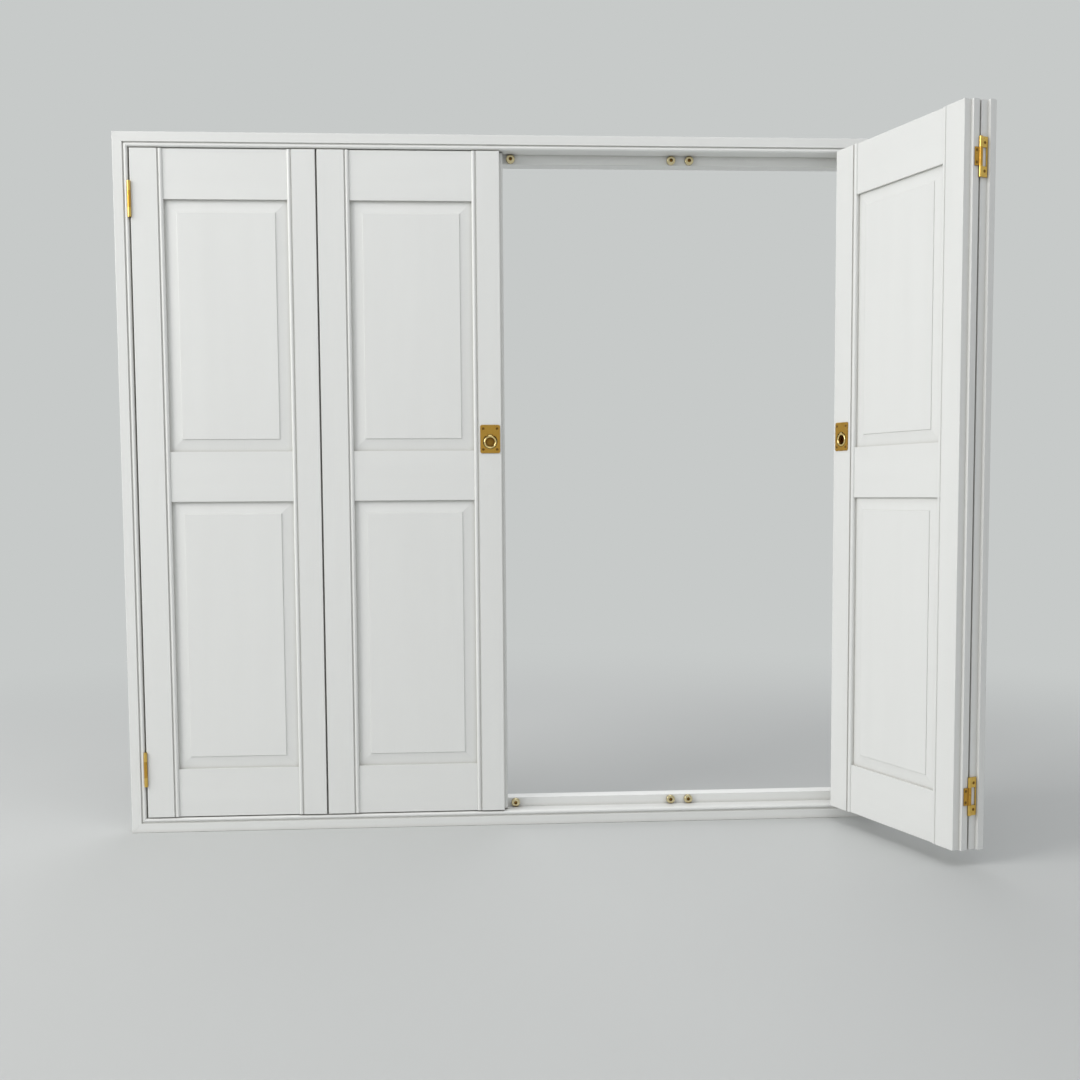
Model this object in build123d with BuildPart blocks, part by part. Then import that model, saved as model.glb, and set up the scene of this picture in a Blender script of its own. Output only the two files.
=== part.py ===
"""Panelled folding window shutters in a rebated frame: four leaves in two hinged pairs."""
from build123d import *
import os

os.makedirs("parts", exist_ok=True)

# Sizes in millimetres. Frame section
lip_w = 25.0            # face width of the frame, which the leaves lie level with
rebate_d = 32.0         # from the face back to the stop
stop_w = 16.0           # how far the stop stands in from the lip
frame_d = 60.0          # whole depth of the frame

# Leaves
leaf_w = 316.0          # one leaf with its lapping edge
leaf_h = 1146.0
leaf_t = 24.0           # thickness of the stiles
lap = 6.0               # how far neighbouring edges lap
lap_gap = 1.0           # between the lapping halves
joint_gap = 3.0         # between neighbouring edges, and beside the jambs
end_gap = 2.0           # above and below a leaf
stile_w = 54.0
rail_set = 3.0          # how far the rails lie behind the stiles' faces
top_rail_h = 84.0
middle_rail_h = 86.0
bottom_rail_h = 84.0
lower_opening_h = 466.0  # clear height between bottom rail and middle rail

# Beads worked on the frame's face and on the stiles' inner edges, and the outer corners eased
bead_w = 7.0
quirk_w = 1.5           # narrow sunk line beside a bead
quirk_d = 2.2
arris = 0.6

# Panels, grooves and tenons
groove_w = 8.0
groove_d = 8.0
tongue = 7.0            # how far a panel reaches into its groove
margin_w = 21.0         # sloped margin round a panel's field
margin_rise = 2.6
field_step = 1.2        # small upright step at the field's edge
field_arris = 0.5
tenon_l = 30.0
tenon_shoulder = 14.0   # the tenon is this much lower than its rail, top and bottom
fit = 0.15              # joiner's clearance in grooves and mortises

# Flush hinges
hinge_h = 60.0
hinge_inset = 85.0      # from a leaf's end to a hinge's middle
hinge_plate_t = 1.8
hinge_outer_w = 13.0    # from the pin's axis to the plate's edge
hinge_inner_w = 10.6
hinge_inner_h = 27.5
knuckle_r = 3.0
pin_r = 1.2
pin_dome = 0.4          # how far the pin's rounded ends stand out of the knuckles
pin_play = 0.05         # radial clearance round the pin
axis_out = 1.5          # the pin's axis stands this far off the leaf's face
hinge_play = 0.25       # between knuckles, and round the inner plate
hinge_screw_out = 7.6   # from the pin's axis to the screws
hinge_outer_screws = 42.0   # screw spacing of the outer plate
hinge_inner_screws = 18.0   # screw spacing of the inner plate
knuckle_room = 0.3      # wood cut away round the knuckles

# Screws, all of one size
screw_head_r = 2.3
screw_head_h = 1.25
screw_r = 1.2
screw_l = 12.5
screw_point = 2.0
screw_slot = 0.6
screw_play = 0.05

# Ring pulls
pull_w = 34.5
pull_h = 49.0
pull_t = 1.5
pull_corner = 3.0
pull_bevel = 0.5        # on the plate's front edge
pull_screws_w = 24.0
pull_screws_h = 36.0
pull_above_rail = 19.5  # plate's middle above the middle rail's top edge
cup_drop = 4.5          # cup's middle below the plate's middle
cup_r = 12.5
cup_wall = 1.0
cup_d = 6.0
cup_round = 5.0         # rounding at the cup's floor
ring_r = 9.6            # ring's centre line
ring_wire_r = 1.6
ring_hang = 10.9        # from the pivot to the ring's middle
ring_pin_r = 0.7
ring_pin_up = 10.0      # ring's pivot above the cup's middle
ring_pin_seat = 1.5     # how far the pivot runs into the plate at each end
ring_eye_r = 1.8
ring_eye_l = 6.0

# Magnetic catches and their strikes
catch_r = 7.5
catch_h = 6.3
catch_round = 1.2
catch_mouth_r = 3.1
catch_spread = 16.0     # from the middle of a joint to a catch
strike_r = 5.5
strike_t = 1.3

# Pose in which the shutters are modelled
open_angle = 110.0      # outer leaf of the right pair, from closed
fold_angle = 180.0      # inner leaf against the outer one, back to back

# Places worked out from the sizes
bead_r = bead_w / 2
quirk_reach = bead_r - (bead_r ** 2 - (bead_r - quirk_d) ** 2) ** 0.5
pitch = leaf_w - lap + joint_gap
opening_w = 3 * pitch + leaf_w + 2 * joint_gap
opening_h = leaf_h + 2 * end_gap
frame_w = opening_w + 2 * lip_w
frame_h = opening_h + 2 * lip_w
face_y = -frame_d / 2
stop_y = face_y + rebate_d
leaf_x = -opening_w / 2 + joint_gap
leaf_z = lip_w + end_gap
clear_w = leaf_w - 2 * stile_w
rail_t = leaf_t - 2 * rail_set
bottom_rail = (0.0, bottom_rail_h)
middle_rail = (bottom_rail_h + lower_opening_h, bottom_rail_h + lower_opening_h + middle_rail_h)
top_rail = (leaf_h - top_rail_h, leaf_h)
rails = {"bottom": bottom_rail, "middle": middle_rail, "top": top_rail}
panels = {"lower": (bottom_rail[1], middle_rail[0]), "upper": (middle_rail[1], top_rail[0])}
hinge_heights = (hinge_inset, leaf_h - hinge_inset)
pull_height = middle_rail[1] + pull_above_rail
catch_heights = {"sill": lip_w + stop_w / 2, "head": frame_h - lip_w - stop_w / 2}


def turned(plane, axis, angle):
    """A plane turned about a vertical axis at (x, y)."""
    there = Location((axis[0], axis[1], 0))
    back = Location((-axis[0], -axis[1], 0))
    return Plane(there * Location((0, 0, 0), (0, 0, angle)) * back * plane.location)


def closed_leaf(number):
    """Plane of a closed leaf: origin at its lower left room corner, X across, Y to its back."""
    origin = (leaf_x + number * pitch, face_y, leaf_z)
    return Plane(origin=origin, x_dir=(1, 0, 0), z_dir=(0, 0, 1))


jamb_axis_y = face_y - axis_out
fold_axis_y = face_y + leaf_t + axis_out
left_jamb_axis = (leaf_x - joint_gap / 2, jamb_axis_y)
right_jamb_axis = (-left_jamb_axis[0], jamb_axis_y)
left_fold_axis = (leaf_x + leaf_w + joint_gap / 2, fold_axis_y)
right_fold_axis = (left_fold_axis[0] + 2 * pitch, fold_axis_y)

outer_left = closed_leaf(0)
inner_left = closed_leaf(1)
outer_right = turned(closed_leaf(3), right_jamb_axis, open_angle)
folded = turned(closed_leaf(2), right_fold_axis, -fold_angle)
inner_right = turned(folded, right_jamb_axis, open_angle)
leaves = {
    "outer_left": outer_left,
    "inner_left": inner_left,
    "inner_right": inner_right,
    "outer_right": outer_right,
}


def point(plane, x, y, z):
    """A point given in a plane's own directions."""
    return plane.from_local_coords(Vector(x, y, z))


def room_side(leaf, x, z, y=0.0):
    """Plane on a leaf's room face, its Z towards the room and its Y up."""
    return Plane(origin=point(leaf, x, y, z), x_dir=leaf.x_dir, z_dir=-leaf.y_dir)


def back_side(leaf, x, z, y=leaf_t):
    """Plane on a leaf's back, its Z out of the leaf and its Y down."""
    return Plane(origin=point(leaf, x, y, z), x_dir=leaf.x_dir, z_dir=leaf.y_dir)


def places(planes):
    """Locations of several planes, for Locations()."""
    return [plane.location for plane in planes]


def write(part, name):
    """Label a finished piece and write its STEP file."""
    part.label = name
    export_step(part, f"parts/{name}.step")


# Screw, and the room that it takes in wood and brass
def countersunk(play):
    """A countersunk screw with its head's top at the origin, or the room for one."""
    head = screw_head_r + play
    shank = screw_r + play
    tip = screw_l + play
    with BuildPart() as solid:
        with BuildSketch(Plane.XZ):
            with BuildLine():
                Polyline((0, 0), (head, 0), (shank, -screw_head_h), (shank, screw_point - tip),
                         (0, -tip), (0, 0))
            make_face()
        revolve(axis=Axis.Z)
    return solid.part


with BuildPart() as screw:
    add(countersunk(0.0))
    Box(2 * screw_head_r, screw_slot, screw_slot, align=(Align.CENTER, Align.CENTER, Align.MAX),
        mode=Mode.SUBTRACT)

with BuildPart() as screw_room:
    add(countersunk(screw_play))


# Frame: one moulding, mitred round the four sides
def frame_member(base, length, screws):
    """One side of the frame, its plane at the middle of its outer front edge, X inwards."""
    inner = lip_w + stop_w
    bead_start = lip_w - bead_w
    quirk_x = bead_start - quirk_w
    quirk_end = (bead_start + quirk_reach, quirk_d)
    with BuildPart() as member:
        with BuildSketch(base):
            with BuildLine():
                Polyline((arris, 0), (quirk_x, 0), (quirk_x, quirk_d), quirk_end)
                ThreePointArc(quirk_end, (bead_start + bead_r, 0), (lip_w, bead_r))
                Polyline((lip_w, bead_r), (lip_w, rebate_d), (inner, rebate_d), (inner, frame_d),
                         (0, frame_d), (0, arris), (arris, 0))
            make_face()
        extrude(amount=length / 2, both=True)
        for end in (-1, 1):
            corner = point(base, 0, 0, end * length / 2)
            mitre = Plane(origin=corner, z_dir=base.x_dir + base.z_dir * end)
            split(bisect_by=mitre, keep=Keep.BOTTOM)
        if screws:
            with Locations(*places(screws)):
                add(screw_room.part, mode=Mode.SUBTRACT)
    return member.part


# Leaf: stiles, rails and panels
def across(side, distance):
    """Place across a leaf of what lies a distance in from its left or right edge."""
    return distance if side == "left" else leaf_w - distance


def stile(leaf, side, room_in, back_in, knuckles, screws, pocket):
    """A stile with its bead, panel groove and mortises, and its outer edge stepped for the lap."""
    def at(distance, depth):
        return (across(side, distance), depth)

    bead_start = stile_w - bead_w
    quirk_x = bead_start - quirk_w
    quirk_end = at(bead_start + quirk_reach, quirk_d)
    half = leaf_t / 2
    step = half + lap_gap / 2 if room_in > back_in else half - lap_gap / 2
    lapped = [] if room_in == back_in else [at(back_in, step), at(room_in, step)]
    with BuildPart() as piece:
        with BuildSketch(leaf):
            with BuildLine():
                Polyline(at(room_in + arris, 0), at(quirk_x, 0), at(quirk_x, quirk_d), quirk_end)
                ThreePointArc(quirk_end, at(bead_start + bead_r, 0), at(stile_w, bead_r))
                Polyline(at(stile_w, bead_r), at(stile_w, leaf_t), at(back_in + arris, leaf_t),
                         at(back_in, leaf_t - arris), *lapped, at(room_in, arris), at(room_in + arris, 0))
            make_face()
        extrude(amount=leaf_h)
        with BuildSketch(leaf):
            with Locations(at(stile_w - groove_d / 2, half)):
                Rectangle(groove_d, groove_w)
        extrude(amount=leaf_h, mode=Mode.SUBTRACT)
        for low, high in rails.values():
            with BuildSketch(leaf.offset(low + tenon_shoulder - fit)):
                with Locations(at(stile_w - (tenon_l + fit) / 2, half)):
                    Rectangle(tenon_l + fit, groove_w)
            extrude(amount=high - low - 2 * (tenon_shoulder - fit), mode=Mode.SUBTRACT)
        for x, y in knuckles:
            with Locations(*[point(leaf, x, y, z) for z in hinge_heights]):
                Cylinder(knuckle_r + knuckle_room, hinge_h + 2 * knuckle_room, mode=Mode.SUBTRACT)
        if pocket:
            with BuildSketch(pocket):
                Circle(cup_r + cup_wall + fit)
            extrude(amount=-(cup_d + fit), mode=Mode.SUBTRACT)
        with Locations(*places(screws)):
            add(screw_room.part, mode=Mode.SUBTRACT)
    return piece.part


def rail(leaf, low, high):
    """A rail with a stub tenon at each end and a groove along each edge that holds a panel."""
    low_groove = groove_d if low > 0 else 0.0
    high_groove = groove_d if high < leaf_h else 0.0
    middle = (leaf_w / 2, leaf_t / 2)
    tongue_t = groove_w - 2 * fit
    with BuildPart() as piece:
        with BuildSketch(leaf.offset(low)):
            with Locations(middle):
                Rectangle(clear_w, rail_t)
        extrude(amount=high - low)
        with BuildSketch(leaf.offset(low + low_groove)):
            with Locations(middle):
                Rectangle(clear_w + 2 * (groove_d - fit), tongue_t)
        extrude(amount=high - low - low_groove - high_groove)
        with BuildSketch(leaf.offset(low + tenon_shoulder)):
            with Locations(middle):
                Rectangle(clear_w + 2 * tenon_l, tongue_t)
        extrude(amount=high - low - 2 * tenon_shoulder)
        for start, depth in ((low, low_groove), (high - high_groove, high_groove)):
            if depth:
                with BuildSketch(leaf.offset(start)):
                    with Locations(middle):
                        Rectangle(clear_w, groove_w)
                extrude(amount=depth, mode=Mode.SUBTRACT)
    return piece.part


def panel(leaf, low, high):
    """A raised and fielded panel, loose in its grooves, worked alike on both faces."""
    clear_h = high - low
    tongue_t = groove_w - 2 * fit
    margin_top = tongue_t / 2 + margin_rise
    middle_z = (low + high) / 2
    with BuildPart() as piece:
        with BuildSketch(room_side(leaf, leaf_w / 2, middle_z, leaf_t / 2)):
            Rectangle(clear_w + 2 * tongue, clear_h + 2 * tongue)
        extrude(amount=tongue_t / 2, both=True)
        for side in (room_side, back_side):
            face = side(leaf, leaf_w / 2, middle_z, leaf_t / 2)
            with BuildSketch(face.offset(tongue_t / 2)):
                Rectangle(clear_w, clear_h)
            with BuildSketch(face.offset(margin_top)):
                Rectangle(clear_w - 2 * margin_w, clear_h - 2 * margin_w)
            loft()
            with BuildSketch(face.offset(margin_top)):
                Rectangle(clear_w - 2 * margin_w, clear_h - 2 * margin_w)
            extrude(amount=field_step)
            field_edges = piece.edges().group_by(Axis(face.origin, face.z_dir))[-1]
            chamfer(field_edges, field_arris)
    return piece.part


# Flush hinges. A hinge plane has its origin on the pin's axis, X along the plate and Y to the wood
def hinge_planes(leaf, x, y, depth_sign, wood_sign, heights):
    """Planes for the hinges of one edge of a leaf, or of a jamb."""
    depth = leaf.y_dir * depth_sign
    wood = leaf.x_dir * wood_sign
    return [Plane(origin=point(leaf, x, y, z), x_dir=depth, z_dir=depth.cross(wood)) for z in heights]


def hinge_screws(planes, spacing):
    """Planes of the screws of hinge plates, their Z out of the plate into the joint."""
    face = joint_gap / 2 - hinge_plate_t
    result = []
    for plane in planes:
        for z in (-spacing / 2, spacing / 2):
            result.append(Plane(origin=point(plane, hinge_screw_out, face, z), x_dir=plane.x_dir,
                                z_dir=-plane.y_dir))
    return result


def hinge_section(width):
    """Section of a hinge leaf: the plate against the wood, and the knuckle round the pin."""
    with BuildSketch() as section:
        Circle(knuckle_r)
        with Locations((width / 2, (joint_gap - hinge_plate_t) / 2)):
            Rectangle(width, hinge_plate_t)
        Circle(pin_r + pin_play, mode=Mode.SUBTRACT)
    return section.sketch


def outer_hinge_leaves(planes, screws):
    """Outer leaves: full height, cut out for the inner leaf, with a knuckle at each end."""
    room_h = hinge_inner_h + 2 * hinge_play
    room_w = hinge_inner_w + hinge_play + knuckle_r
    with BuildPart() as leafs:
        for plane in planes:
            with BuildSketch(plane.offset(-hinge_h / 2)):
                add(hinge_section(hinge_outer_w))
            extrude(amount=hinge_h)
            with BuildSketch(plane.offset(-room_h / 2)):
                with Locations((room_w / 2 - knuckle_r, 0)):
                    Rectangle(room_w, 2 * knuckle_r)
            extrude(amount=room_h, mode=Mode.SUBTRACT)
        with Locations(*places(screws)):
            add(screw_room.part, mode=Mode.SUBTRACT)
    return leafs.part


def inner_hinge_leaves(planes, screws):
    """Inner leaves, which nest in the outer ones, with the middle knuckle."""
    with BuildPart() as leafs:
        for plane in planes:
            with BuildSketch(plane.offset(-hinge_inner_h / 2)):
                add(hinge_section(hinge_inner_w))
            extrude(amount=hinge_inner_h)
        with Locations(*places(screws)):
            add(screw_room.part, mode=Mode.SUBTRACT)
    return leafs.part


def hinge_pins(planes):
    """Pins of a hinge line, their ends rounded."""
    with BuildPart() as pins:
        for plane in planes:
            with BuildSketch(plane.offset(-hinge_h / 2 - pin_dome)):
                Circle(pin_r)
            extrude(amount=hinge_h + 2 * pin_dome)
        fillet(pins.edges().filter_by(GeomType.CIRCLE), pin_dome)
    return pins.part


# Ring pulls. A pull's plane lies on the stile's room face at the plate's middle, Z to the room
def cup_plane(pull):
    """Plane of the cup, at its middle on the stile's face."""
    return Plane(origin=point(pull, 0, -cup_drop, 0), x_dir=pull.x_dir, z_dir=pull.z_dir)


def pull_screws(pull):
    """Planes of a pull's four screws."""
    half_w = pull_screws_w / 2
    half_h = pull_screws_h / 2
    corners = [(x, y) for x in (-half_w, half_w) for y in (-half_h, half_h)]
    return [Plane(origin=point(pull, x, y, pull_t), x_dir=pull.x_dir, z_dir=pull.z_dir) for x, y in corners]


def cup_section(radius, depth, round_r, top):
    """Half section of the cup's outside or inside, in a plane with its Y out of the plate."""
    with BuildSketch() as section:
        with BuildLine():
            Polyline((0, top), (0, -depth), (radius - round_r, -depth))
            RadiusArc((radius - round_r, -depth), (radius, round_r - depth), -round_r)
            Polyline((radius, round_r - depth), (radius, top), (0, top))
        make_face()
    return section.sketch


def pull_plate(pull):
    """Plate with its cup, and the pivot that is riveted across the cup's mouth."""
    cup = cup_plane(pull)
    section = Plane(origin=cup.origin, x_dir=cup.x_dir, z_dir=-cup.y_dir)
    pivot = Plane(origin=point(cup, 0, ring_pin_up, pull_t / 2), x_dir=cup.z_dir, z_dir=cup.x_dir)
    with BuildPart() as plate:
        with BuildSketch(pull):
            RectangleRounded(pull_w, pull_h, pull_corner)
        extrude(amount=pull_t)
        front_edges = plate.edges().group_by(Axis(pull.origin, pull.z_dir))[-1]
        chamfer(front_edges, pull_bevel)
        with BuildSketch(section):
            add(cup_section(cup_r + cup_wall, cup_d, cup_round, pull_t / 2))
        revolve(axis=Axis(cup.origin, cup.z_dir))
        with BuildSketch(section):
            add(cup_section(cup_r, cup_d - cup_wall, cup_round - cup_wall, 2 * pull_t))
        revolve(axis=Axis(cup.origin, cup.z_dir), mode=Mode.SUBTRACT)
        with BuildSketch(pivot):
            Circle(ring_pin_r)
        extrude(amount=(cup_r ** 2 - ring_pin_up ** 2) ** 0.5 + ring_pin_seat, both=True)
        with Locations(*places(pull_screws(pull))):
            add(screw_room.part, mode=Mode.SUBTRACT)
    return plate.part


def pull_ring(pull):
    """Ring with the eye that turns on the pivot."""
    cup = cup_plane(pull)
    height = pull_t / 2
    pivot = Plane(origin=point(cup, 0, ring_pin_up, height), x_dir=cup.z_dir, z_dir=cup.x_dir)
    middle = point(cup, 0, ring_pin_up - ring_hang, height)
    wire = Plane(origin=point(cup, ring_r, ring_pin_up - ring_hang, height), x_dir=cup.x_dir, z_dir=cup.y_dir)
    with BuildPart() as ring:
        with BuildSketch(wire):
            Circle(ring_wire_r)
        revolve(axis=Axis(middle, cup.z_dir))
        with BuildSketch(pivot):
            Circle(ring_eye_r)
        extrude(amount=ring_eye_l / 2, both=True)
        with BuildSketch(pivot):
            Circle(ring_pin_r + pin_play)
        extrude(amount=ring_eye_l, both=True, mode=Mode.SUBTRACT)
    return ring.part


# Catches on the stop and strikes on the leaves' backs
def catch_screw_planes(height):
    """Planes of the catches' screws at one height, one catch each side of each joint."""
    seat = screw_head_h * 2
    result = []
    for joint in range(1, 4):
        middle = leaf_x + joint * pitch + (lap - joint_gap) / 2
        for side in (-1, 1):
            origin = (middle + side * catch_spread, stop_y - seat, height)
            result.append(Plane(origin=origin, x_dir=(1, 0, 0), z_dir=(0, -1, 0)))
    return result


def catches(screws):
    """Round catches, each a turned cup with a sunk screw."""
    seat = screw_head_h * 2
    head = screw_head_r + screw_play
    shank = screw_r + screw_play
    rim = catch_r - catch_round
    with BuildPart() as cups:
        for plane in screws:
            base = plane.offset(-seat)
            with BuildSketch(Plane(origin=base.origin, x_dir=base.x_dir, z_dir=-base.y_dir)):
                with BuildLine():
                    Polyline((rim, catch_h), (catch_mouth_r, catch_h), (catch_mouth_r, seat), (head, seat),
                             (shank, seat - screw_head_h), (shank, 0), (catch_r, 0),
                             (catch_r, catch_h - catch_round))
                    RadiusArc((catch_r, catch_h - catch_round), (rim, catch_h), -catch_round)
                make_face()
            revolve(axis=Axis(base.origin, base.z_dir))
    return cups.part


def strike_screw_planes(leaf, distances):
    """Planes of the strikes' screws on a leaf's back, for strikes at these places across it."""
    heights = [height - leaf_z for height in catch_heights.values()]
    return [back_side(leaf, x, z, leaf_t + strike_t) for x in distances for z in heights]


def strikes(screws):
    """Round steel strikes that the catches hold."""
    with BuildPart() as discs:
        for plane in screws:
            with BuildSketch(plane.offset(-strike_t)):
                Circle(strike_r)
            extrude(amount=strike_t)
        with Locations(*places(screws)):
            add(screw_room.part, mode=Mode.SUBTRACT)
    return discs.part


def screw_group(planes):
    """The screws of one body, in one node."""
    with BuildPart() as group:
        with Locations(*places(planes)):
            add(screw.part)
    return group.part


# Places of hinges, pulls and strikes on each leaf
room_hinge = -axis_out
back_hinge = leaf_t + axis_out
left_hinge_x = -joint_gap / 2
right_hinge_x = leaf_w + joint_gap / 2
folded_hinge_x = lap - joint_gap / 2
left_strike_x = catch_spread + (lap - joint_gap) / 2
right_strike_x = left_strike_x + pitch - 2 * catch_spread
meeting_flat = stile_w - bead_w - quirk_w
frame_hinge_heights = [leaf_z + z for z in hinge_heights]
world = Plane.XY

jamb_hinge_left_leaf = hinge_planes(outer_left, left_hinge_x, room_hinge, 1, 1, hinge_heights)
jamb_hinge_right_leaf = hinge_planes(outer_right, right_hinge_x, room_hinge, 1, -1, hinge_heights)
jamb_hinge_left = hinge_planes(world, *left_jamb_axis, 1, -1, frame_hinge_heights)
jamb_hinge_right = hinge_planes(world, *right_jamb_axis, 1, 1, frame_hinge_heights)
fold_hinge_left_outer = hinge_planes(outer_left, right_hinge_x, back_hinge, -1, -1, hinge_heights)
fold_hinge_left_inner = hinge_planes(inner_left, folded_hinge_x, back_hinge, -1, 1, hinge_heights)
fold_hinge_right_outer = hinge_planes(outer_right, folded_hinge_x, back_hinge, -1, 1, hinge_heights)
fold_hinge_right_inner = hinge_planes(inner_right, right_hinge_x, back_hinge, -1, -1, hinge_heights)

left_pull = room_side(inner_left, leaf_w - lap - (meeting_flat - lap) / 2, pull_height)
right_pull = room_side(inner_right, meeting_flat / 2, pull_height)

hinge_lines = {
    "left_jamb": (jamb_hinge_left, jamb_hinge_left_leaf),
    "left_fold": (fold_hinge_left_outer, fold_hinge_left_inner),
    "right_jamb": (jamb_hinge_right, jamb_hinge_right_leaf),
    "right_fold": (fold_hinge_right_outer, fold_hinge_right_inner),
}
outer_screws = {line: hinge_screws(pair[0], hinge_outer_screws) for line, pair in hinge_lines.items()}
inner_screws = {line: hinge_screws(pair[1], hinge_inner_screws) for line, pair in hinge_lines.items()}

# For each leaf: its two stiles with side, room inset, back inset, knuckles, edge screws and pull
stiles = {
    "outer_left": {
        "jamb": ("left", 0.0, 0.0, (left_hinge_x, room_hinge), inner_screws["left_jamb"], None),
        "fold": ("right", lap, 0.0, (right_hinge_x, back_hinge), outer_screws["left_fold"], None),
    },
    "inner_left": {
        "fold": ("left", 0.0, lap, (folded_hinge_x, back_hinge), inner_screws["left_fold"], None),
        "meeting": ("right", lap, 0.0, None, [], left_pull),
    },
    "inner_right": {
        "meeting": ("left", 0.0, lap, None, [], right_pull),
        "fold": ("right", lap, 0.0, (right_hinge_x, back_hinge), inner_screws["right_fold"], None),
    },
    "outer_right": {
        "fold": ("left", 0.0, lap, (folded_hinge_x, back_hinge), outer_screws["right_fold"], None),
        "jamb": ("right", 0.0, 0.0, (right_hinge_x, room_hinge), inner_screws["right_jamb"], None),
    },
}

# Frame
left_side = Plane(origin=(-frame_w / 2, face_y, frame_h / 2), x_dir=(1, 0, 0), z_dir=(0, 0, 1))
right_side = Plane(origin=(frame_w / 2, face_y, frame_h / 2), x_dir=(-1, 0, 0), z_dir=(0, 0, -1))
top_side = Plane(origin=(0, face_y, frame_h), x_dir=(0, 0, -1), z_dir=(1, 0, 0))
bottom_side = Plane(origin=(0, face_y, 0), x_dir=(0, 0, 1), z_dir=(-1, 0, 0))
catch_screws = {name: catch_screw_planes(height) for name, height in catch_heights.items()}
write(frame_member(left_side, frame_h, outer_screws["left_jamb"]), "frame_left_jamb")
write(frame_member(right_side, frame_h, outer_screws["right_jamb"]), "frame_right_jamb")
write(frame_member(top_side, frame_w, catch_screws["head"]), "frame_head")
write(frame_member(bottom_side, frame_w, catch_screws["sill"]), "frame_sill")
for name, screws in catch_screws.items():
    write(catches(screws), f"{name}_catches")
jamb_screws = outer_screws["left_jamb"] + outer_screws["right_jamb"]
write(screw_group(jamb_screws + catch_screws["head"] + catch_screws["sill"]), "frame_screws")

# Leaves
for name, leaf in leaves.items():
    leaf_screws = []
    strike_screws = []
    for kind, (side, room_in, back_in, knuckle, edge_screws, pull) in stiles[name].items():
        screws = list(edge_screws)
        if kind != "jamb":
            strike_x = left_strike_x if side == "left" else right_strike_x
            stile_strikes = strike_screw_planes(leaf, [strike_x])
            strike_screws += stile_strikes
            screws += stile_strikes
        if pull:
            screws += pull_screws(pull)
        pocket = cup_plane(pull) if pull else None
        knuckles = [knuckle] if knuckle else []
        write(stile(leaf, side, room_in, back_in, knuckles, screws, pocket), f"{name}_{kind}_stile")
        leaf_screws += screws
    for kind, (low, high) in rails.items():
        write(rail(leaf, low, high), f"{name}_{kind}_rail")
    for kind, (low, high) in panels.items():
        write(panel(leaf, low, high), f"{name}_{kind}_panel")
    write(strikes(strike_screws), f"{name}_strikes")
    write(screw_group(leaf_screws), f"{name}_screws")

# Hinges and pulls
for line, (outer, inner) in hinge_lines.items():
    write(outer_hinge_leaves(outer, outer_screws[line]), f"{line}_hinge_outer")
    write(inner_hinge_leaves(inner, inner_screws[line]), f"{line}_hinge_inner")
    write(hinge_pins(outer), f"{line}_hinge_pins")
for side, pull in (("left", left_pull), ("right", right_pull)):
    write(pull_plate(pull), f"{side}_pull_plate")
    write(pull_ring(pull), f"{side}_pull_ring")
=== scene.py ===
"""Paint, brass and light for panelled folding window shutters in their frame."""

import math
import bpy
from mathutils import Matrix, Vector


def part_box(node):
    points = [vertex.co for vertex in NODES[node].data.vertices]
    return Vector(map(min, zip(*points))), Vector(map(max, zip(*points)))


bl_info = {
    "name": "Panelled Window Shutters",
    "version": (1, 0, 0),
    "blender": (4, 5, 0),
    "location": "View3D > Sidebar > Shutters",
    "description": "Finishes for painted folding shutters, their hinges, pulls and catches",
    "category": "Object",
}

import bmesh
import bpy
from bpy.props import FloatProperty, FloatVectorProperty, PointerProperty
from mathutils import Matrix, Vector

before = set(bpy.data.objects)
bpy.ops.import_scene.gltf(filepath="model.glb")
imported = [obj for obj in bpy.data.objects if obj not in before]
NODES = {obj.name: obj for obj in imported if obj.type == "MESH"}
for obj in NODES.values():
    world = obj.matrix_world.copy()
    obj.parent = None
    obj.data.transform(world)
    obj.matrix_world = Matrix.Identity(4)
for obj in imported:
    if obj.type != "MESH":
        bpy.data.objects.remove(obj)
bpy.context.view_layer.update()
MM = 0.001

LEAVES = ("outer_left", "inner_left", "inner_right", "outer_right")
FRAME_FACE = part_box("frame_sill")[0].y
FRAME_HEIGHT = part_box("frame_head")[1].z
UPRIGHT = Vector((0, 0, 1))
LEVEL = Vector((1, 0, 0))

# Brushed paint, in metres. The length of a ridge is counted in its own widths.
RIDGE_LENGTHS = 90
RIDGE_DEPTH = 0.22 * MM
LAP_WIDTH = 38 * MM
LAP_LENGTH = 420 * MM
STIPPLE_SIZE = 3 * MM
STIPPLE_DEPTH = 0.12 * MM
ARRIS_RADIUS = 0.9 * MM
QUIRK_SHADE_REACH = 9 * MM

# Buffed brass and plated steel. The length of a buffing line is counted in its own widths, and
# tarnish keeps these shares of red, green and blue.
BUFF_LENGTHS = 40
BUFF_DEPTH = 0.03 * MM
TARNISH_CLOUD = 7 * MM
TARNISH_SHARES = (0.88, 0.78, 0.62)
SPANGLE_SIZE = 1.6 * MM

# Floor, in metres, with the size and the darkest share of its slow drift of tone
FLOOR_RADIUS = 40.0
FLOOR_SIDES = 96
DRIFT_SIZE = 0.7
DRIFT_SHARE = 0.975

# Lamps: where each stands and the side of its soft square, in metres, and its colour
KEY_PLACE = (-3.2, -1.55, 2.2)
KEY_SIDE = 2.2
KEY_COLOUR = (1.0, 0.987, 0.965)
TOP_PLACE = (0.4, -1.4, 3.4)
TOP_SIDE = 2.0
REAR_PLACE = (0.5, 3.4, 2.5)
REAR_SIDE = 2.6
SKY_COLOUR = (0.985, 0.99, 1.0)

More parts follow.
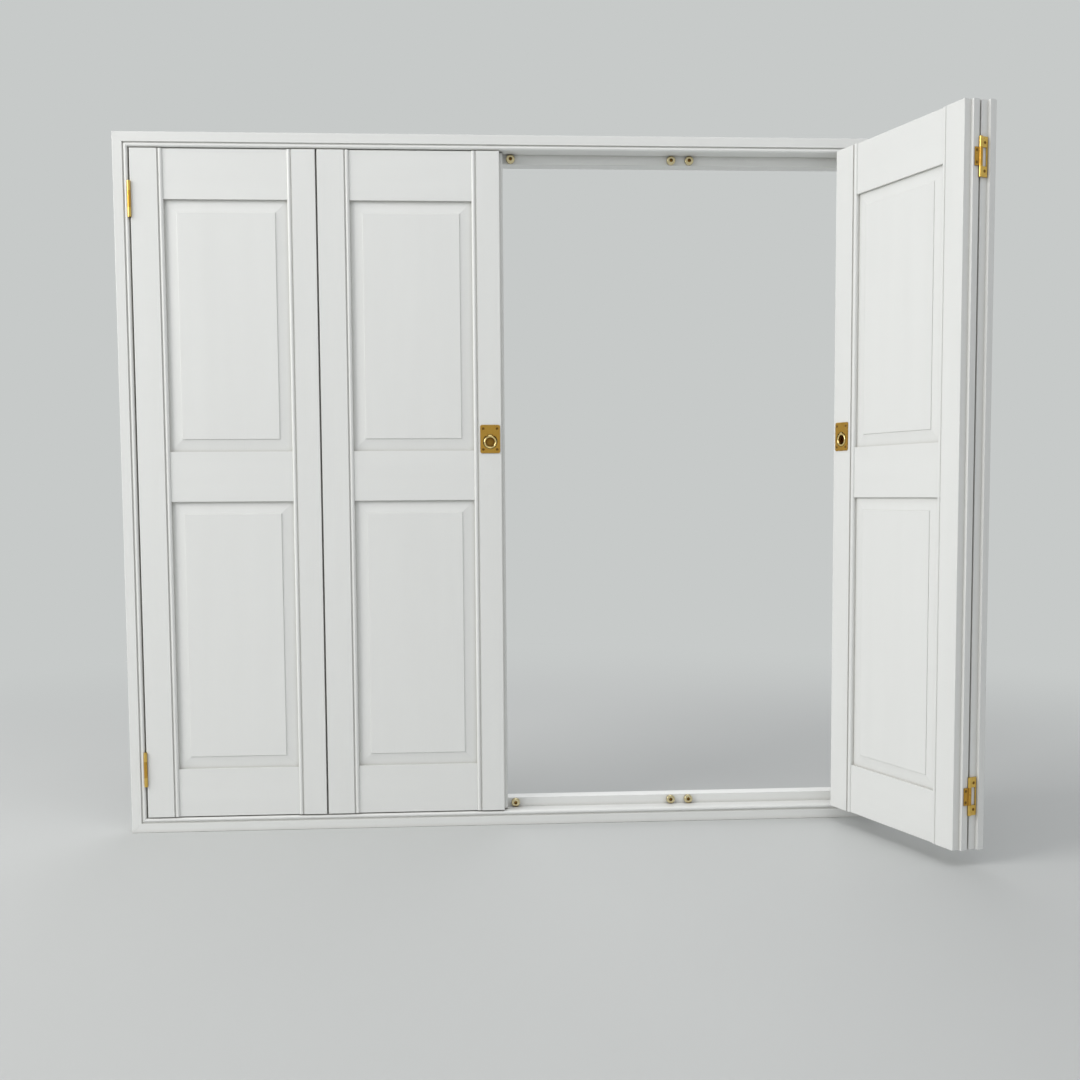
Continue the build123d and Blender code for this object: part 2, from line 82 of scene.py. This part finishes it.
# Camera at the photograph's angle, measured from the middle of the frame's underside, its angles
# in radians and its sensor in millimetres. The rise is the height of the photograph's optical
# centre above its middle row.
CAMERA_SIDE = -63.2 * MM
CAMERA_DISTANCE = 2136.6 * MM
CAMERA_HEIGHT = 586.6 * MM
CAMERA_TURN = 0.058
CAMERA_TILT = 0.069
CAMERA_ROLL = -0.0068
SENSOR_WIDTH = 36.0
IMAGE_PIXELS = 1080
FOCAL_PIXELS = 1221.3
CENTRE_RISE_PIXELS = 38.4


def linear(code):
    """Linear colour of an sRGB hex code, with alpha."""
    channels = [int(code[i:i + 2], 16) / 255 for i in (1, 3, 5)]
    return [c / 12.92 if c <= 0.04045 else ((c + 0.055) / 1.055) ** 2.4 for c in channels] + [1.0]


def add_node(tree, kind, settings=None, links=None):
    """Add a node, set its properties and its sockets' values, and link other outputs to its inputs."""
    node = tree.nodes.new("ShaderNode" + kind)
    for name, value in (settings or {}).items():
        if hasattr(node, str(name)):
            setattr(node, name, value)
        else:
            node.inputs[name].default_value = value
    for name, output in (links or {}).items():
        tree.links.new(output, node.inputs[name])
    return node


def new_material(name):
    """An empty node material and its tree, with an output."""
    material = bpy.data.materials.new(name)
    material.use_nodes = True
    material.node_tree.nodes.clear()
    output = material.node_tree.nodes.new("ShaderNodeOutputMaterial")
    return material, material.node_tree, output


def object_space(tree, size, turn=(0.0, 0.0, 0.0)):
    """Coordinates counted in cells of a real size in metres, turned to lie along a piece."""
    place = add_node(tree, "TexCoord")
    return add_node(tree, "Mapping", {"vector_type": "TEXTURE", "Rotation": turn, "Scale": size},
                    {"Vector": place.outputs["Object"]}).outputs["Vector"]


def grain_turn(direction):
    """Turn that lays a pattern's long axis along a direction."""
    return UPRIGHT.rotation_difference(direction).to_euler()


def seen_rays(tree):
    """One for rays that are seen, mirrored or refracted, and nought for rays that only light."""
    path = add_node(tree, "LightPath")
    mirrored = add_node(tree, "Math", {"operation": "MAXIMUM"},
                        {0: path.outputs["Is Glossy Ray"], 1: path.outputs["Is Transmission Ray"]})
    return add_node(tree, "Math", {"operation": "MAXIMUM"},
                    {0: path.outputs["Is Camera Ray"], 1: mirrored.outputs[0]}).outputs[0]


def brushed_eggshell(name, look, direction):
    """Water-based eggshell paint, brushed out along the grain of planed timber."""
    # The sheen is low and even. Bristles leave fine ridges along each piece, and the film pulls
    # back a little from sharp arrises. Real ridges are about 0.4 mm apart; here they are drawn
    # about five times as wide, because finer ones don't show at this distance.
    material, tree, output = new_material(name)
    turn = grain_turn(direction)
    ridge = look.brush_ridge
    strokes = object_space(tree, (ridge, ridge, ridge * RIDGE_LENGTHS), turn)
    ridges = add_node(tree, "TexNoise", {"Scale": 1.0, "Detail": 3.0, "Roughness": 0.6},
                      {"Vector": strokes})
    lap_marks = object_space(tree, (LAP_WIDTH, LAP_WIDTH, LAP_LENGTH), turn)
    laps = add_node(tree, "TexNoise", {"Scale": 1.0, "Detail": 2.0, "Roughness": 0.5},
                    {"Vector": lap_marks})
    stipple_cells = object_space(tree, (STIPPLE_SIZE, STIPPLE_SIZE, STIPPLE_SIZE))
    stipple = add_node(tree, "TexNoise", {"Scale": 1.0, "Detail": 1.0}, {"Vector": stipple_cells})

    # Painted shade, with a little dust: the colour goes toward the quirk tone where ambient occlusion
    # finds quirks and corners.
    corners = add_node(tree, "AmbientOcclusion", {"samples": 6, "Distance": QUIRK_SHADE_REACH})
    painted_quirk_shade = add_node(tree, "MapRange",
                       {"From Min": 0.25, "From Max": 0.85, "To Min": 0.0, "To Max": 1.0},
                       {"Value": corners.outputs["AO"]})
    clean = add_node(tree, "Mix", {"data_type": "RGBA", "A": look.paint_thin, "B": look.paint},
                     {"Factor": laps.outputs["Fac"]})
    # Painted shade: the occlusion share pulls the colour toward the quirk tone.
    coloured = add_node(tree, "Mix", {"data_type": "RGBA", "A": look.quirk_dust_and_shade},
                        {"Factor": painted_quirk_shade.outputs["Result"], "B": clean.outputs["Result"]})

    # Laps are a little glossier and duller by turns, either side of the set roughness.
    sheen = add_node(tree, "MapRange",
                     {"To Min": look.paint_roughness - 0.05, "To Max": look.paint_roughness + 0.07},
                     {"Value": laps.outputs["Fac"]})
    arris = add_node(tree, "Bevel", {"samples": 4, "Radius": ARRIS_RADIUS})
    film = add_node(tree, "Bump", {"Strength": 0.35, "Distance": STIPPLE_DEPTH},
                    {"Height": stipple.outputs["Fac"], "Normal": arris.outputs["Normal"]})
    brushed = add_node(tree, "Bump", {"Strength": 0.5, "Distance": RIDGE_DEPTH},
                       {"Height": ridges.outputs["Fac"], "Normal": film.outputs["Normal"]})
    paint = add_node(tree, "BsdfPrincipled", {"IOR": 1.49, "Metallic": 0.0},
                     {"Base Color": coloured.outputs["Result"], "Roughness": sheen.outputs["Result"],
                      "Normal": brushed.outputs["Normal"]})
    tree.links.new(paint.outputs["BSDF"], output.inputs["Surface"])
    return material


def polished_brass(name, look, colour, roughness, line, hollow):
    """Brass stampings and castings, linished and buffed, then lacquered."""
    # Buffing leaves a bright face with faint lines one way. Lacquer keeps the tarnish to a few
    # warmer clouds. Hollows that ambient occlusion finds go brown: painted shade. Real lines are
    # under 0.1 mm wide; here they are drawn about five times as wide, because finer ones don't show.
    material, tree, output = new_material(name)
    lines = object_space(tree, (line, line, line * BUFF_LENGTHS))
    linished = add_node(tree, "TexNoise", {"Scale": 1.0, "Detail": 2.0}, {"Vector": lines})
    clouds = object_space(tree, (TARNISH_CLOUD, TARNISH_CLOUD, TARNISH_CLOUD))
    tarnish = add_node(tree, "TexNoise", {"Scale": 1.0, "Detail": 3.0}, {"Vector": clouds})
    corners = add_node(tree, "AmbientOcclusion", {"samples": 8, "Distance": hollow})
    unshaded = add_node(tree, "MapRange", {"From Min": 0.35, "From Max": 0.92},
                       {"Value": corners.outputs["AO"]})
    warm = [channel * share for channel, share in zip(colour, TARNISH_SHARES)] + [1.0]
    cloud = add_node(tree, "MapRange", {"From Min": 0.45, "From Max": 0.75, "To Max": 0.5},
                     {"Value": tarnish.outputs["Fac"]})
    face = add_node(tree, "Mix", {"data_type": "RGBA", "A": list(colour), "B": warm},
                    {"Factor": cloud.outputs["Result"]})
    # Painted shade: hollows within reach of the occlusion go toward the brown tone.
    metal = add_node(tree, "Mix", {"data_type": "RGBA", "A": look.brass_hollow_shade},
                     {"Factor": unshaded.outputs["Result"], "B": face.outputs["Result"]})
    gloss = add_node(tree, "MapRange", {"To Min": roughness * 0.8, "To Max": roughness * 1.35},
                     {"Value": tarnish.outputs["Fac"]})
    scratch = add_node(tree, "Bump", {"Strength": 0.25, "Distance": BUFF_DEPTH},
                       {"Height": linished.outputs["Fac"]})
    brass = add_node(tree, "BsdfPrincipled", {"Metallic": 1.0},
                     {"Base Color": metal.outputs["Result"], "Roughness": gloss.outputs["Result"],
                      "Normal": scratch.outputs["Normal"]})
    tree.links.new(brass.outputs["BSDF"], output.inputs["Surface"])
    return material


def zinc_plated_steel(name, look):
    """Pressed steel discs with bright zinc plating."""
    # Plating gives a cold, slightly blue metal with a fine spangle and a soft gloss.
    material, tree, output = new_material(name)
    cells = object_space(tree, (SPANGLE_SIZE, SPANGLE_SIZE, SPANGLE_SIZE))
    spangle = add_node(tree, "TexVoronoi", {"Scale": 1.0}, {"Vector": cells})
    shade = add_node(tree, "Mix", {"data_type": "RGBA", "A": look.zinc, "B": look.zinc_edge},
                     {"Factor": spangle.outputs["Distance"]})
    gloss = add_node(tree, "MapRange", {"To Min": 0.28, "To Max": 0.42},
                     {"Value": spangle.outputs["Distance"]})
    steel = add_node(tree, "BsdfPrincipled", {"Metallic": 1.0},
                     {"Base Color": shade.outputs["Result"], "Roughness": gloss.outputs["Result"]})
    tree.links.new(steel.outputs["BSDF"], output.inputs["Surface"])
    return material


def matt_emulsion(name, stage):
    """Matt emulsion on a level screed, which passes into the pale ground with distance."""
    # A flat, powdery surface with hardly any gloss and a slow drift of tone. It takes the lamps
    # and the shutters' shadow, and far out the eye and the metal see the even ground instead.
    material, tree, output = new_material(name)
    cells = object_space(tree, (DRIFT_SIZE, DRIFT_SIZE, DRIFT_SIZE))
    drift = add_node(tree, "TexNoise", {"Scale": 1.0, "Detail": 2.0}, {"Vector": cells})
    deeper = [channel * DRIFT_SHARE for channel in stage.floor[:3]] + [1.0]
    tone = add_node(tree, "Mix", {"data_type": "RGBA", "A": deeper, "B": stage.floor},
                    {"Factor": drift.outputs["Fac"]})
    screed = add_node(tree, "BsdfPrincipled", {"Roughness": 0.9, "IOR": 1.45},
                      {"Base Color": tone.outputs["Result"]})
    place = add_node(tree, "TexCoord")
    reach = add_node(tree, "VectorMath", {"operation": "LENGTH"}, {0: place.outputs["Object"]})
    distance = add_node(tree, "MapRange", {"interpolation_type": "SMOOTHSTEP",
                                           "From Min": stage.floor_near, "From Max": stage.floor_far},
                        {"Value": reach.outputs["Value"]})
    share = add_node(tree, "Math", {"operation": "MULTIPLY"},
                     {0: distance.outputs["Result"], 1: seen_rays(tree)})
    even = add_node(tree, "Emission", {"Color": stage.ground, "Strength": 1.0})
    mixed = add_node(tree, "MixShader", {},
                     {0: share.outputs[0], 1: screed.outputs["BSDF"], 2: even.outputs[0]})
    tree.links.new(mixed.outputs[0], output.inputs["Surface"])
    return material


def dress(names, material):
    """Give the CAD nodes of these names their material."""
    for name in names:
        for slot in NODES[name].material_slots:
            slot.material = material


def nodes_ending(*endings):
    """Names of the CAD nodes with one of these endings."""
    return [name for name in NODES if name.endswith(endings)]


def leaf_direction(leaf):
    """Direction across a leaf, from the middles of its two stiles."""
    stiles = [name for name in NODES if name.startswith(leaf) and name.endswith("_stile")]
    first, second = [sum(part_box(name), Vector()) / 2 for name in sorted(stiles)]
    across = second - first
    across.z = 0
    return across.normalized()


class ShutterLook(bpy.types.PropertyGroup):
    """Colours and sizes of the finishes."""
    paint: FloatVectorProperty(
        name="Paint", description="White eggshell where the film is full",
        subtype="COLOR", size=4, min=0, max=1, default=linear("#E7E8E6"))
    paint_thin: FloatVectorProperty(
        name="Thin paint", description="White eggshell where the film is thinner",
        subtype="COLOR", size=4, min=0, max=1, default=linear("#E2E3E1"))
    # Painted shade, with a little dust, for quirks and corners.
    quirk_dust_and_shade: FloatVectorProperty(
        name="Dust and painted shade in quirks", description="Painted shade, with a little dust, in quirks and corners",
        subtype="COLOR", size=4, min=0, max=1, default=linear("#C4C3BE"))
    paint_roughness: FloatProperty(
        name="Paint roughness", description="Sheen of the paint, from gloss to matt",
        subtype="FACTOR", min=0.1, max=0.9, default=0.4)
    brush_ridge: FloatProperty(
        name="Brush ridge", description="Width of a brush ridge as drawn",
        subtype="DISTANCE", unit="LENGTH", min=0.0002, max=0.01, default=0.0022)
    brass: FloatVectorProperty(
        name="Brass", description="Lacquered brass of the hinges",
        subtype="COLOR", size=4, min=0, max=1, default=linear("#E6C36A"))
    # Painted reflection: plates drawn darker, for the dark surroundings they mirror.
    brass_plate_painted_darker: FloatVectorProperty(
        name="Plate brass, painted darker", description="Brass of the pulls' plates and the nested hinge plates, painted darker as a reflection",
        subtype="COLOR", size=4, min=0, max=1, default=linear("#CFA24A"))
    # Painted highlight: rings drawn brighter than the plates.
    brass_ring_painted_highlight: FloatVectorProperty(
        name="Ring brass, painted brighter", description="Brass of the rings, painted brighter as a highlight",
        subtype="COLOR", size=4, min=0, max=1, default=linear("#F3DC9A"))
    brass_catch: FloatVectorProperty(
        name="Catch brass", description="Pale brass wash of the turned catches",
        subtype="COLOR", size=4, min=0, max=1, default=linear("#DCCFA6"))
    # Painted reflection: screw heads drawn dark, for the dark look their heads take.
    brass_screw_painted_dark: FloatVectorProperty(
        name="Screw brass, painted darker", description="Brass of the screws, painted darker as a reflection on their heads",
        subtype="COLOR", size=4, min=0, max=1, default=linear("#8E6A33"))
    # Painted shade: the brown that hollows and slots take.
    brass_hollow_shade: FloatVectorProperty(
        name="Hollow shade brass", description="Painted shade in hollows and slots",
        subtype="COLOR", size=4, min=0, max=1, default=linear("#6A4518"))
    brass_roughness: FloatProperty(
        name="Brass roughness", description="Polish of the brass",
        subtype="FACTOR", min=0.05, max=0.8, default=0.14)
    zinc: FloatVectorProperty(
        name="Zinc plating", description="Plating of the strikes, in the middle of a grain",
        subtype="COLOR", size=4, min=0, max=1, default=linear("#C6C9CB"))
    zinc_edge: FloatVectorProperty(
        name="Zinc edges", description="Plating of the strikes, at the edges of its grains",
        subtype="COLOR", size=4, min=0, max=1, default=linear("#9EA2A6"))


class ShutterStage(bpy.types.PropertyGroup):
    """Floor, pale ground, lamps and daylight."""
    floor: FloatVectorProperty(
        name="Floor", description="Pale emulsion under the shutters",
        subtype="COLOR", size=4, min=0, max=1, default=linear("#C3C5C4"))
    ground: FloatVectorProperty(
        name="Ground", description="Even tone that is seen all round the shutters",
        subtype="COLOR", size=4, min=0, max=1, default=linear("#C7CAC9"))
    ceiling: FloatVectorProperty(
        name="Ceiling", description="Darker tone overhead, which edges of the metal mirror",
        subtype="COLOR", size=4, min=0, max=1, default=linear("#8F9291"))
    floor_near: FloatProperty(
        name="Lit floor", description="Distance out to which the floor shows its own light and shade",
        subtype="DISTANCE", unit="LENGTH", min=0.5, max=10, default=0.9)
    floor_far: FloatProperty(
        name="Even floor", description="Distance from which the floor shows the even ground",
        subtype="DISTANCE", unit="LENGTH", min=1, max=20, default=2.6)
    key_power: FloatProperty(
        name="Key power", description="Power of the large soft lamp on the left",
        subtype="POWER", unit="POWER", min=0, max=1000, default=94)
    top_power: FloatProperty(
        name="Top power", description="Power of the lamp overhead",
        subtype="POWER", unit="POWER", min=0, max=1000, default=22)
    rear_power: FloatProperty(
        name="Rear power", description="Power of the soft lamp behind the frame",
        subtype="POWER", unit="POWER", min=0, max=1000, default=33)
    daylight: FloatProperty(
        name="Daylight", description="Strength of the even light from all round",
        subtype="FACTOR", min=0, max=2, default=0.56)
    daylight_colour: FloatVectorProperty(
        name="Daylight colour", description="Colour of the even light from all round",
        subtype="COLOR", size=4, min=0, max=1, default=linear("#F7F8FA"))


class SHUTTERS_OT_paint_frame(bpy.types.Operator):
    """Paint the four members of the frame, brushed along each"""
    bl_idname = "shutters.paint_frame"
    bl_label = "Paint Frame"

    def execute(self, context):
        look = context.scene.shutter_look
        upright = brushed_eggshell("Eggshell, brushed up the jambs", look, UPRIGHT)
        level = brushed_eggshell("Eggshell, brushed along head and sill", look, LEVEL)
        dress(("frame_left_jamb", "frame_right_jamb"), upright)
        dress(("frame_head", "frame_sill"), level)
        return {"FINISHED"}


class SHUTTERS_OT_paint_leaves(bpy.types.Operator):
    """Paint the leaves: stiles and panels brushed upright, rails brushed across"""
    bl_idname = "shutters.paint_leaves"
    bl_label = "Paint Leaves"

    def execute(self, context):
        look = context.scene.shutter_look
        upright = brushed_eggshell("Eggshell, brushed up stiles and panels", look, UPRIGHT)
        dress(nodes_ending("_stile", "_panel"), upright)
        for leaf in LEAVES:
            across = brushed_eggshell(f"Eggshell, brushed along rails of {leaf}", look,
                                      leaf_direction(leaf))
            dress([name for name in nodes_ending("_rail") if name.startswith(leaf)], across)
        return {"FINISHED"}


class SHUTTERS_OT_finish_hinges(bpy.types.Operator):
    """Give the flush hinges and all screws their brass"""
    bl_idname = "shutters.finish_hinges"
    bl_label = "Finish Hinges"

    def execute(self, context):
        look = context.scene.shutter_look
        satin = look.brass_roughness * 2
        outer = polished_brass("Brass hinge strip, linished", look, look.brass, satin,
                               line=0.5 * MM, hollow=2 * MM)
        # The nested strips take the darker plate brass, a painted reflection.
        inner = polished_brass("Brass nested strip, linished", look, look.brass_plate_painted_darker, satin,
                               line=0.5 * MM, hollow=2 * MM)
        pin = polished_brass("Brass hinge pin, drawn", look, look.brass, satin,
                             line=0.3 * MM, hollow=1 * MM)
        # The screws take the dark screw brass, a painted reflection.
        screw = polished_brass("Brass screw, turned", look, look.brass_screw_painted_dark, satin,
                               line=0.4 * MM, hollow=2 * MM)
        dress(nodes_ending("_hinge_outer"), outer)
        dress(nodes_ending("_hinge_inner"), inner)
        dress(nodes_ending("_hinge_pins"), pin)
        dress(nodes_ending("_screws"), screw)
        return {"FINISHED"}


class SHUTTERS_OT_finish_pulls(bpy.types.Operator):
    """Polish the plates and rings of the flush ring pulls"""
    bl_idname = "shutters.finish_pulls"
    bl_label = "Finish Ring Pulls"

    def execute(self, context):
        look = context.scene.shutter_look
        # Plates take the darker plate brass and rings the brighter ring brass: painted reflection and
        # painted highlight.
        plate = polished_brass("Brass pull plate, pressed and buffed", look, look.brass_plate_painted_darker,
                               look.brass_roughness * 1.3, line=0.5 * MM, hollow=16 * MM)
        ring = polished_brass("Brass ring, cast and buffed", look, look.brass_ring_painted_highlight,
                              look.brass_roughness, line=0.6 * MM, hollow=1 * MM)
        dress(nodes_ending("_pull_plate"), plate)
        dress(nodes_ending("_pull_ring"), ring)
        return {"FINISHED"}


class SHUTTERS_OT_finish_catches(bpy.types.Operator):
    """Turned brass for the catches, zinc-plated steel for their strikes"""
    bl_idname = "shutters.finish_catches"
    bl_label = "Finish Catches"

    def execute(self, context):
        look = context.scene.shutter_look
        cup = polished_brass("Brass catch, turned", look, look.brass_catch,
                             look.brass_roughness * 1.5, line=0.4 * MM, hollow=5 * MM)
        dress(nodes_ending("_catches"), cup)
        dress(nodes_ending("_strikes"), zinc_plated_steel("Steel strike, zinc plated", look))
        return {"FINISHED"}


def floor_mesh():
    """Round level floor, its middle under the shutters."""
    mesh = bpy.data.meshes.new("floor")
    disc = bmesh.new()
    bmesh.ops.create_circle(disc, cap_ends=True, segments=FLOOR_SIDES, radius=FLOOR_RADIUS)
    disc.to_mesh(mesh)
    disc.free()
    return mesh


def area_lamp(name, place, side, power, colour):
    """Large soft square lamp aimed at the middle of the frame."""
    lamp = bpy.data.lights.new(name, "AREA")
    lamp.shape = "SQUARE"
    lamp.size = side
    lamp.energy = power
    lamp.color = colour
    lamp_object = bpy.data.objects.new(name, lamp)
    lamp_object.location = place
    lamp_object.visible_camera = False
    aim = Vector((0, 0, FRAME_HEIGHT / 2)) - Vector(place)
    lamp_object.rotation_euler = aim.to_track_quat("-Z", "Y").to_euler()
    bpy.context.scene.collection.objects.link(lamp_object)


def pale_world(stage):
    """Even light from all round, with a pale ground that the camera and the brass see."""
    world = bpy.data.worlds.new("Pale daylight")
    world.use_nodes = True
    tree = world.node_tree
    tree.nodes.clear()
    direction = add_node(tree, "TexCoord")
    height = add_node(tree, "SeparateXYZ", {}, {0: direction.outputs["Generated"]})
    overhead = add_node(tree, "MapRange",
                        {"interpolation_type": "SMOOTHSTEP", "From Min": 0.5, "From Max": 0.9},
                        {"Value": height.outputs["Z"]})
    around = add_node(tree, "Mix", {"data_type": "RGBA", "A": stage.ground, "B": stage.ceiling},
                      {"Factor": overhead.outputs["Result"]})
    lighting = add_node(tree, "Background",
                        {"Color": stage.daylight_colour, "Strength": stage.daylight})
    seen = add_node(tree, "Background", {"Strength": 1.0}, {"Color": around.outputs["Result"]})
    mixed = add_node(tree, "MixShader", {},
                     {0: seen_rays(tree), 1: lighting.outputs[0], 2: seen.outputs[0]})
    output = tree.nodes.new("ShaderNodeOutputWorld")
    tree.links.new(mixed.outputs[0], output.inputs["Surface"])
    bpy.context.scene.world = world


def photograph_camera():
    """Camera that frames the shutters as the photograph does."""
    data = bpy.data.cameras.new("Photograph camera")
    data.sensor_width = SENSOR_WIDTH
    data.lens = SENSOR_WIDTH * FOCAL_PIXELS / IMAGE_PIXELS
    data.shift_y = CENTRE_RISE_PIXELS / IMAGE_PIXELS
    camera = bpy.data.objects.new("Photograph camera", data)
    turned = Matrix.Rotation(-CAMERA_TURN, 4, "Z")
    tilted = Matrix.Rotation(math.pi / 2 - CAMERA_TILT, 4, "X")
    rolled = Matrix.Rotation(CAMERA_ROLL, 4, "Z")
    place = Matrix.Translation((CAMERA_SIDE, FRAME_FACE - CAMERA_DISTANCE, CAMERA_HEIGHT))
    camera.matrix_world = place @ turned @ tilted @ rolled
    bpy.context.scene.collection.objects.link(camera)
    bpy.context.scene.camera = camera


class SHUTTERS_OT_build_stage(bpy.types.Operator):
    """Pale floor and ground, soft lamps, daylight and the camera"""
    bl_idname = "shutters.build_stage"
    bl_label = "Build Stage"

    def execute(self, context):
        stage = context.scene.shutter_stage
        mesh = floor_mesh()
        mesh.materials.append(matt_emulsion("Pale emulsion", stage))
        floor = bpy.data.objects.new("floor", mesh)
        context.scene.collection.objects.link(floor)
        area_lamp("Key lamp", KEY_PLACE, KEY_SIDE, stage.key_power, KEY_COLOUR)
        area_lamp("Top lamp", TOP_PLACE, TOP_SIDE, stage.top_power, SKY_COLOUR)
        area_lamp("Rear lamp", REAR_PLACE, REAR_SIDE, stage.rear_power, SKY_COLOUR)
        pale_world(stage)
        context.scene.view_settings.view_transform = "Standard"
        photograph_camera()
        return {"FINISHED"}


class SHUTTERS_PT_panel(bpy.types.Panel):
    """Finishes of the shutters, in the sidebar"""
    bl_idname = "SHUTTERS_PT_panel"
    bl_label = "Panelled Shutters"
    bl_space_type = "VIEW_3D"
    bl_region_type = "UI"
    bl_category = "Shutters"

    def draw(self, context):
        layout = self.layout
        for group in (context.scene.shutter_look, context.scene.shutter_stage):
            for name in group.bl_rna.properties.keys():
                if name not in {"rna_type", "name"}:
                    layout.prop(group, name)
        for operator in OPERATORS:
            layout.operator(operator.bl_idname)


GROUPS = (ShutterLook, ShutterStage)
OPERATORS = (
    SHUTTERS_OT_paint_frame,
    SHUTTERS_OT_paint_leaves,
    SHUTTERS_OT_finish_hinges,
    SHUTTERS_OT_finish_pulls,
    SHUTTERS_OT_finish_catches,
    SHUTTERS_OT_build_stage,
)


def register():
    """Register the classes and hang the settings on the scene."""
    for item in (*GROUPS, *OPERATORS, SHUTTERS_PT_panel):
        bpy.utils.register_class(item)
    bpy.types.Scene.shutter_look = PointerProperty(type=ShutterLook)
    bpy.types.Scene.shutter_stage = PointerProperty(type=ShutterStage)


def unregister():
    """Take the settings off the scene and unregister the classes."""
    del bpy.types.Scene.shutter_stage
    del bpy.types.Scene.shutter_look
    for item in reversed((*GROUPS, *OPERATORS, SHUTTERS_PT_panel)):
        bpy.utils.unregister_class(item)


def main():
    """Finish every piece and build the stage."""
    register()
    bpy.ops.shutters.paint_frame()
    bpy.ops.shutters.paint_leaves()
    bpy.ops.shutters.finish_hinges()
    bpy.ops.shutters.finish_pulls()
    bpy.ops.shutters.finish_catches()
    bpy.ops.shutters.build_stage()


if __name__ == "__main__":
    main()
